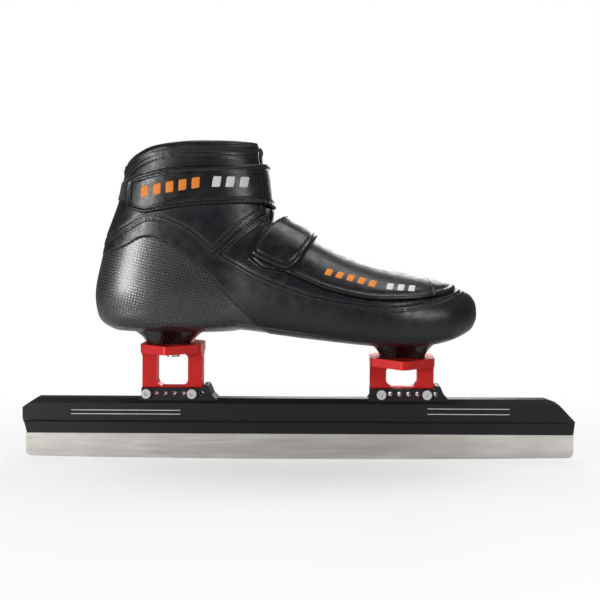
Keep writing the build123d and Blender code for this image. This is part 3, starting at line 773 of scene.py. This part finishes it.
def printed(name, sheet, blocks, body, material, height=0.3):
    """Low raised blocks on the near side of a sheet, their four corners given in the side view."""
    surface = BVHTree.FromPolygons(sheet.points.tolist(), sheet.triangles.tolist())
    size, sunk = 9, 0.1
    steps = np.linspace(0, 1, size)
    grid = np.arange(size * size).reshape(size, size)
    rim = np.concatenate([grid[0, :-1], grid[:-1, -1], grid[-1, :0:-1], grid[:0:-1, 0]])
    points, faces = [], []
    for block in blocks:
        a, b, c, d = (np.asarray(corner, float) for corner in block)
        first = len(points)
        top, bottom = [], []
        for v in steps:
            for u in steps:
                x, z = (1 - v) * ((1 - u) * a + u * b) + v * ((1 - u) * d + u * c)
                spot, normal = surface.ray_cast(Vector((x, -200, z)), Vector((0, 1, 0)))[:2]
                if normal.y > 0:
                    normal = -normal
                dome = (1 - abs(2 * u - 1) ** 6) * (1 - abs(2 * v - 1) ** 6)
                top.append(spot + normal * (height * dome - sunk))
                bottom.append(spot - normal * 2 * sunk)
        points += top + bottom
        for row in range(size - 1):
            for column in range(size - 1):
                corner = first + grid[row, column]
                quad = np.array([corner, corner + 1, corner + size + 1, corner + size])
                faces += [quad, quad[::-1] + grid.size]
        for here, ahead in zip(rim, np.roll(rim, -1)):
            faces.append(first + np.array([ahead, here, here + grid.size, ahead + grid.size]))
    new_object(name, points, faces, body, material)


def slanted_blocks(start, run, height, widths, gap, lean):
    """Plain leaning blocks in a row along run, a unit direction in the side view."""
    start, run = np.array(start, float), np.array(run, float)
    run /= np.linalg.norm(run)
    up = np.array([-run[1], run[0]])
    blocks, at = [], 0.0
    for width in widths:
        corners = [(at, 0), (at + width, 0), (at + width + lean, height), (at + lean, height)]
        blocks.append([start + run * u + up * v for u, v in corners])
        at += width + gap
    return blocks


# ---------------------------------------------------------------- where the soft pieces are placed

def with_ankle_strap(piece):
    """The strap is fixed to the boot inside the ankle; here the piece only has its transform baked into its
    mesh.
    """
    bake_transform(piece)


def with_instep_strap(piece):
    """The strap is fixed to the boot inside the instep; here the piece only has its transform baked into
    its mesh.
    """
    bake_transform(piece)


def with_lace_cover(piece):
    """The cover is sewn down at the toe; here the piece only has its transform baked into its mesh."""
    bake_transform(piece)


# ---------------------------------------------------------------- the layers of the boot

def make_carbon():
    """The moulded heel cup, and the plate under the forefoot."""
    strip = np.minimum(np.minimum(25.0 - np.abs(py - 1), 113.0 - px), 99.0 - pz)
    area = np.maximum(carbon_area, np.minimum(strip, px + 20))
    cup = skin("carbon_heel_cup", area, 0.5, 0.8, 2.2, 1.4, "boot", CARBON, ("carbon_shell",))[0]
    weave_map(cup)


def make_pedestal(name, middle, foot, head, bottom, top):
    """A waisted block moulded onto the sole, cut back on both sides so that two round columns show.

    foot and head are (rear reach, front reach, half-width) on the cup and under the sole.
    """
    foot, head = np.array(foot, float), np.array(head, float)

    def solid(x, y, z):
        rise = np.clip((z - bottom) / (top - bottom), 0, 1)
        rear, front, half = (a + (b - a) * rise ** 1.7 for a, b in zip(foot, head))
        along = np.where(x < middle, (middle - x) / rear, (x - middle) / front)
        stretch = (along ** 3 + (np.abs(y) / half) ** 3) ** (1 / 3)
        block = np.hypot(x - middle, y) * (1 - 1 / np.maximum(stretch, 1e-3))
        past_wall = np.maximum(half + 1.5 - np.abs(y), 0)
        recess = np.hypot((x - middle - 1.5) / 0.85, past_wall) - 9 + 3 * rise
        carved = -melt(-block, recess, 2.0)
        return np.maximum(carved, np.maximum(bottom - z, z - top))
    margin = np.array([4, 4, 2])
    start = np.array([middle - head[0], -head[2], bottom]) - margin
    end = np.array([middle + head[1], head[2], top]) + margin
    points, triangles = surface_of(solid, start, end, 0.7)
    points = relax(points, triangles, 2, 0.4)
    triangles = outward(points, triangles)[1]
    weave_map(new_object(name, points, triangles, "boot", CARBON_SMOOTH))


def make_lower_wrap():
    """The lower panel, between the carbon cup and the two upper panels that overlap it."""
    lap = 6.0
    area = np.minimum(lap - np.maximum(above_heel_seam, above_side_seam), 1.0 - carbon_area)
    area = np.minimum(area, np.maximum(np.maximum(pz - 97.5, np.abs(py - 1) - 23.0), px - 108))
    area = np.minimum(area, outside_slot)
    skin("lower_wrap_leather", area, 0.9, 0.9, 1.8, 1.3, "boot", LEATHER, ("lower_wrap",))


def make_uppers():
    """The ankle panel and the vamp, both sewn down with a double row."""
    rows = (2.2, 4.8)
    ankle_area = np.minimum(np.minimum(above_heel_seam, under_collar), outside_slot)
    puff = 1.9 * ramp(above_collar_seam, 1.5, 7.0) * ramp(under_collar, 0.0, 6.0)
    folds = 0.35 * np.sin(px / 4.6 + 1.3 * np.sin(pz / 5.0)) * ramp(above_collar_seam, 2.0, 6.0)
    crease = 0.5 * np.sin((pz - 0.7 * px) / 2.6) * np.exp(-((px + 27) / 9) ** 2 - ((pz - 191) / 8) ** 2)
    seams = grooves(ankle_area, rows) + grooves(above_collar_seam, (-1.6, 1.2), 0.5)
    _, sheet = skin("ankle_upper_leather", ankle_area, 1.5, 1.2, 2.2, 1.7,
                    "boot", LEATHER, ("ankle_upper",),
                    crown=puff + folds + crease + seams)
    sewn("ankle_seam_stitches", sheet, rows, "boot", keep=lambda x, y, z: z < 199)
    sheet = layer_field(sheet, "rim", ankle_area, above_collar_seam)
    sewn("collar_seam_stitches", sheet, (-1.6, 1.2), "boot")
    vamp_area = np.minimum(above_side_seam, outside_slot)
    _, sheet = skin("vamp_leather", vamp_area, 1.4, 1.2, 2.2, 1.7,
                    "boot", LEATHER, ("vamp_upper",),
                    crown=grooves(vamp_area, rows))
    sewn("vamp_seam_stitches", sheet, rows, "boot")


def make_collar():
    """The padded lining, rolled over at the collar, and the tongue."""
    area = np.minimum(np.minimum(under_collar + 0.5, outside_slot - 1.0), pz - 112)
    skin("collar_lining", area, -2.6, 3.4, 3.4, 5.0, "boot", LINING, ("ankle_padding",))
    front = np.minimum(np.minimum(26 - np.abs(py), px + 60), np.minimum(pz - 133, 78 - px))
    tongue = np.minimum(front, 246.5 - pz)
    quilt = 0.8 * np.cos(pz / 5.2) ** 2
    throat = 4.8 * np.exp(-((pz - 196) / 10) ** 2) * (1 - ramp(np.abs(py), 7, 13)) * (px < 0)
    skin("tongue_padding", tongue, -4.0, 1.9, 1.9, 4.0, "boot", LEATHER, ("tongue",),
         crown=quilt + throat)


def make_ankle_strap():
    """The ankle strap with its bound edge, from its anchor inside the ankle to its free end outside."""
    binding, front_seam = 3.4, py + 16
    area = region(rounded(ANKLE_STRAP, 0.35, 4, closed=True))
    area = np.where(py < 0, area, np.minimum(area, px - HEEL_STOP_X))
    relief = bound_edge(area, binding, 0.6) + grooves(front_seam, (0.0,)) * (px > -45)
    _, sheet = skin("ankle_strap_leather", area, 4.0, 1.2, 1.5, 1.5,
                    with_ankle_strap, LEATHER_STRAP,
                    ("ankle_strap", "ankle_strap_anchor"), crown=relief)
    sewn("ankle_strap_stitches", sheet, (binding,), with_ankle_strap)
    sheet = layer_field(sheet, "rim", area, front_seam)
    sewn("ankle_strap_front_stitches", sheet, (0.0,), with_ankle_strap, keep=lambda x, y, z: x > -45)
    wide = slanted_blocks((-118.0, 203.6), (1.0, 0.159), 8.8, (6.6, 6.6, 6.6, 6.6, 6.6), 3.2, 1.7)
    printed("ankle_strap_orange_blocks", sheet, wide, with_ankle_strap, ORANGE)
    narrow = slanted_blocks((-64.5, 211.4), (1.0, 0.01), 8.8, (6.6, 6.6, 6.6), 3.2, 1.4)
    printed("ankle_strap_white_blocks", sheet, narrow, with_ankle_strap, WHITE)


def make_hook_band():
    """The hook tape under the ankle strap, and the stitched tab under the end of the instep strap."""
    top = np.interp(px, [-142, -120], [213.5, 222.0])
    area = np.minimum(top - pz, pz - 202.0)
    area = np.where(py < 0, np.minimum(area, -38 - px), np.minimum(area, -106 - px))
    skin("ankle_hook_tape", area, 2.9, 0.8, 0.6, 0.9, "boot", HOOK, ("ankle_hook_band",))
    patch = np.where(py < 0, region(INSTEP_TAB), -20.0)
    _, sheet = skin("instep_tab_leather", patch, 2.9, 0.9, 0.6, 1.2,
                    "boot", LEATHER_STRAP, ("instep_hook_patch",),
                    crown=grooves(patch, (2.6,)))
    sewn("instep_tab_stitches", sheet, (2.6,), "boot")


def make_lace_cover():
    """The panel over the laces: a bound edge, a stitched line inside it and a seam across its tip."""
    area = region(rounded(COVER_LINE, 0.5, 5), [(126.3, 300), (-14, 300)])
    area = np.minimum(area, px + 8)
    area = np.where((pz > 118) & (px > -14), area, -30.0)
    binding, tip_seam = 3.0, 99.0 - px
    relief = bound_edge(area, binding, 0.35) + grooves(tip_seam, (0.0,))
    low_tip = -1.6 * ramp(px, 92, 120)
    _, sheet = skin("lace_cover_leather", area, 5.2, 0.9, 0.7, 1.5,
                    with_lace_cover, LEATHER,
                    ("lace_cover", "lace_cover_tip"), rise=low_tip, crown=relief)
    sewn("lace_cover_stitches", sheet, (binding,), with_lace_cover)
    sheet = layer_field(sheet, "rim", area, tip_seam)
    sewn("lace_cover_tip_stitches", sheet, (0.0,), with_lace_cover)
    wide = slanted_blocks((19.0, 147.6), (1.0, -0.252), 5.2, (5.4, 5.4, 5.4, 5.4, 5.4), 2.9, 1.5)
    printed("lace_cover_orange_blocks", sheet, wide, with_lace_cover, ORANGE)
    narrow = slanted_blocks((64.6, 137.0), (1.0, -0.095), 4.7, (5.4, 5.4, 5.4), 2.8, 1.2)
    printed("lace_cover_white_blocks", sheet, narrow, with_lace_cover, WHITE)


def make_instep_strap():
    """The bound instep strap, from its anchor low inside the foot over the laces to its tab."""
    binding = 3.4
    area = region(rounded(INSTEP_STRAP, 0.35, 4, closed=True))
    rear_edge = px + 30 - 0.62 * np.maximum(pz - 170, 0)
    anchor = np.minimum(np.minimum(rear_edge, -px), np.minimum(pz - 127, py - 8))
    area = np.where(py < 12, area, np.maximum(np.minimum(area, 40 - py), anchor))
    rise = np.interp(py, [-40, -20, 20, 40], [3.2, 6.4, 6.4, 1.2]) - 1.3 * (1 - ramp(area, 0, 5))
    _, sheet = skin("instep_strap_leather", area, 4.6, 1.2, 1.4, 1.5,
                    with_instep_strap, LEATHER_STRAP,
                    ("instep_strap", "instep_strap_anchor"), rise=rise,
                    crown=bound_edge(area, binding, 0.6))
    sewn("instep_strap_stitches", sheet, (binding,), with_instep_strap)


def make_insole():
    """A thin cloth-covered footbed."""
    stations = FOOT[1:-2]
    rim = [(x, -outside + 6.5) for x, sole, top, outside, inside in stations]
    rim += [(x, inside - 6.5) for x, sole, top, outside, inside in stations[::-1]]
    rim = rounded([(-118, -10)] + rim + [(-118, 10)], 0.5, 6, closed=True)
    floor_z = smooth_curve(FOOT[:, 0], FOOT[:, 1])

    def solid(x, y, z):
        lift = floor_z(np.clip(x, -120, 130)) + 7.0
        edge = -inside_distance(x, y, rim)
        return np.maximum(np.abs(z - lift) - 1.9, edge)
    points, triangles = surface_of(solid, (-128, -48, 94), (122, 50, 122), 1.3)
    points = relax(points, triangles, 3, 0.5)
    triangles = outward(points, triangles)[1]
    new_object("insole_cloth", points, triangles, "boot", INSOLE, ("insole",))


def tube_along(path, radius, sides=10):
    """A slightly flattened cord along a path, closed at both ends, as points and faces."""
    points, faces = [], []
    for i, here in enumerate(path):
        along = path[min(i + 1, len(path) - 1)] - path[max(i - 1, 0)]
        along /= np.linalg.norm(along)
        side = np.cross(along, (1, 0, 0))
        side /= np.linalg.norm(side)
        up = np.cross(along, side)
        for k in range(sides):
            turn = 2 * math.pi * k / sides
            points.append(here + radius * (side * math.cos(turn) + 0.7 * up * math.sin(turn)))
    for i in range(len(path) - 1):
        for k in range(sides):
            a, b = i * sides + k, i * sides + (k + 1) % sides
            faces.append((a, b, b + sides, a + sides))
    faces.append(tuple(range(sides))[::-1])
    faces.append(tuple(range(len(points) - sides, len(points))))
    return points, faces


def make_laces():
    """One flat cord across the tongue at each pair of eyelets."""
    rows, eyelet_radius, cord_radius = 5, 2.6, 1.6
    first, last = low("eyelets")[0] + eyelet_radius, high("eyelets")[0] - eyelet_radius
    reach = high("laces")[1] - 0.9
    form_top = smooth_curve(FOOT[:, 0], FOOT[:, 2])
    points, faces = [], []
    for row in range(rows):
        x = first + (last - first) * row / (rows - 1)
        across = np.linspace(-reach, reach, 21)
        crown = form_top(x)
        drop = 0.010 * across ** 2
        dip = 1.5 * (np.abs(across) > reach - 2)
        path = np.column_stack([x + 1.2 * np.sin(across / 6), across, crown - drop + 2.4 - dip])
        cord_points, cord_faces = tube_along(path, cord_radius)
        faces += [tuple(len(points) + i for i in face) for face in cord_faces]
        points += cord_points
    new_object("lace_cords", points, faces, "boot", CORD, ("laces",))


# ---------------------------------------------------------------- the blade

def finish_hardware():
    """Give each machined piece of the CAD its own finish."""
    finishes = {
        "runner": STEEL, "tube": TUBE, "tail_plug": PLUG, "nose_plug": PLUG,
        "rear_cup": RED, "front_cup": RED,
        "cross_bolts": BOLT, "cross_nuts": BOLT, "mount_bolts": BOLT, "mount_washers": BOLT,
        "threaded_inserts": BOLT, "eyelets": NICKEL,
    }
    for name, material in finishes.items():
        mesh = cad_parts[name].data
        mesh.materials.clear()
        mesh.materials.append(material)


def make_tube_lines():
    """Thin plain bars on the tube's outer face."""
    face_y, proud, width = low("tube")[1], 0.06, 0.55
    bar = np.array([(0, 1, 5, 4), (1, 3, 7, 5), (3, 2, 6, 7), (2, 0, 4, 6), (0, 2, 3, 1), (4, 5, 7, 6)])
    points, faces = [], []
    for start, end, foot in ((-178, -93, 36.2), (-178, -93, 39.2), (100, 164, 37.0), (100, 164, 41.2)):
        faces += list(len(points) + bar)
        for z in (foot, foot + width):
            for y in (face_y - proud, face_y + proud):
                points += [(start, y, z), (end, y, z)]
    new_object("tube_plain_lines", points, faces, "blade", WHITE, smooth=False)


# ---------------------------------------------------------------- the room, the lights and the camera

def area_light(name, place, target, size, power):
    """A soft rectangular lamp at place, facing target."""
    data = bpy.data.lights.new(name, "AREA")
    data.shape = "RECTANGLE"
    data.size, data.size_y = size
    data.energy = power
    lamp = bpy.data.objects.new(name, data)
    bpy.context.scene.collection.objects.link(lamp)
    lamp.location = place
    lamp.rotation_euler = (Vector(target) - Vector(place)).to_track_quat("-Z", "Y").to_euler()


def floor_paint():
    """Matt white that throws little light back up, and that the camera sees as plain white further out."""
    paint = Paint("floor_white", (0.85, 0.85, 0.85), 0.7)
    paint.bump(paint.noise(40.0), 0.02, 0.0005)
    split = paint.add("ShaderNodeSeparateXYZ")
    paint.link(paint.place, split.inputs[0])
    along = paint.maths("POWER", paint.maths("DIVIDE", split.outputs[0], 1.6), 2.0)
    across = paint.maths("POWER", split.outputs[1], 2.0)
    away = paint.maths("SQRT", paint.maths("ADD", along, across))
    ray = paint.add("ShaderNodeLightPath").outputs
    dimmed = paint.maths("MULTIPLY", ray["Is Diffuse Ray"], 0.35)
    grey = paint.maths("ADD", 0.70, paint.maths("MULTIPLY", ray["Is Camera Ray"], 0.15))
    paint.set("Base Color", paint.maths("SUBTRACT", grey, dimmed))
    share = paint.maths("MULTIPLY", paint.spread(away, 0.55, 1.0, 0.03, 0.30), ray["Is Camera Ray"])
    glow = paint.add("ShaderNodeEmission")
    glow.inputs["Strength"].default_value = 1.0
    blend = paint.add("ShaderNodeMixShader")
    paint.link(share, blend.inputs[0])
    paint.link(paint.shader.outputs[0], blend.inputs[1])
    paint.link(glow.outputs[0], blend.inputs[2])
    paint.link(blend.outputs[0], paint.tree.nodes["Material Output"].inputs["Surface"])
    return paint.material


def make_room():
    """A white floor and a white, softly lit room."""
    mesh = bpy.data.meshes.new("floor")
    mesh.from_pydata([(-3, -3, 0), (3, -3, 0), (3, 3, 0), (-3, 3, 0)], [], [(0, 1, 2, 3)])
    mesh.materials.append(floor_paint())
    floor = bpy.data.objects.new("floor", mesh)
    bpy.context.scene.collection.objects.link(floor)
    world = bpy.data.worlds.new("white_room")
    world.use_nodes = True
    nodes, links = world.node_tree.nodes, world.node_tree.links
    nodes["Background"].inputs["Color"].default_value = (1, 1, 1, 1)
    seen = nodes.new("ShaderNodeLightPath").outputs["Is Camera Ray"]
    strength = nodes.new("ShaderNodeMapRange")
    strength.inputs["To Min"].default_value = 0.13
    strength.inputs["To Max"].default_value = 1.0
    links.new(seen, strength.inputs["Value"])
    links.new(strength.outputs[0], nodes["Background"].inputs["Strength"])
    bpy.context.scene.world = world
    bpy.context.scene.view_settings.view_transform = "Standard"
    area_light("left_softbox", (-0.74, -0.58, 0.20), (-0.10, -0.03, 0.14), (0.26, 0.28), 4.8)
    area_light("right_softbox", (0.55, -0.62, 0.42), (0.06, 0, 0.14), (0.30, 0.30), 2.6)
    area_light("top_softbox", (0.0, 0.10, 0.85), (0, 0, 0.15), (0.9, 0.30), 4.0)
    area_light("back_softbox", (0.10, 0.80, 0.40), (0, 0, 0.14), (0.50, 0.30), 2.4)


def make_camera():
    """Level, square to the outside of the skate, a little right of its middle."""
    data = bpy.data.cameras.new("camera")
    data.sensor_width = 36
    data.lens = 45.57
    picture_size = 600
    data.shift_x, data.shift_y = -40 / picture_size, -60 / picture_size
    data.clip_start = 0.01
    camera = bpy.data.objects.new("camera", data)
    camera.location = (0.031, -0.600, 0.173)
    camera.rotation_euler = (math.pi / 2, math.radians(-0.29), 0)
    bpy.context.scene.collection.objects.link(camera)
    bpy.context.scene.camera = camera


make_carbon()
make_lower_wrap()
make_uppers()
make_collar()
make_hook_band()
make_ankle_strap()
make_lace_cover()
make_instep_strap()
make_insole()
make_laces()
make_pedestal("rear_pedestal", -99, (21, 14.5, 16), (45, 42, 25), 91.55, 109)
make_pedestal("front_pedestal", 80, (17.5, 18, 18), (33, 32, 26), 81.85, 97)
finish_hardware()
make_tube_lines()
make_room()
make_camera()
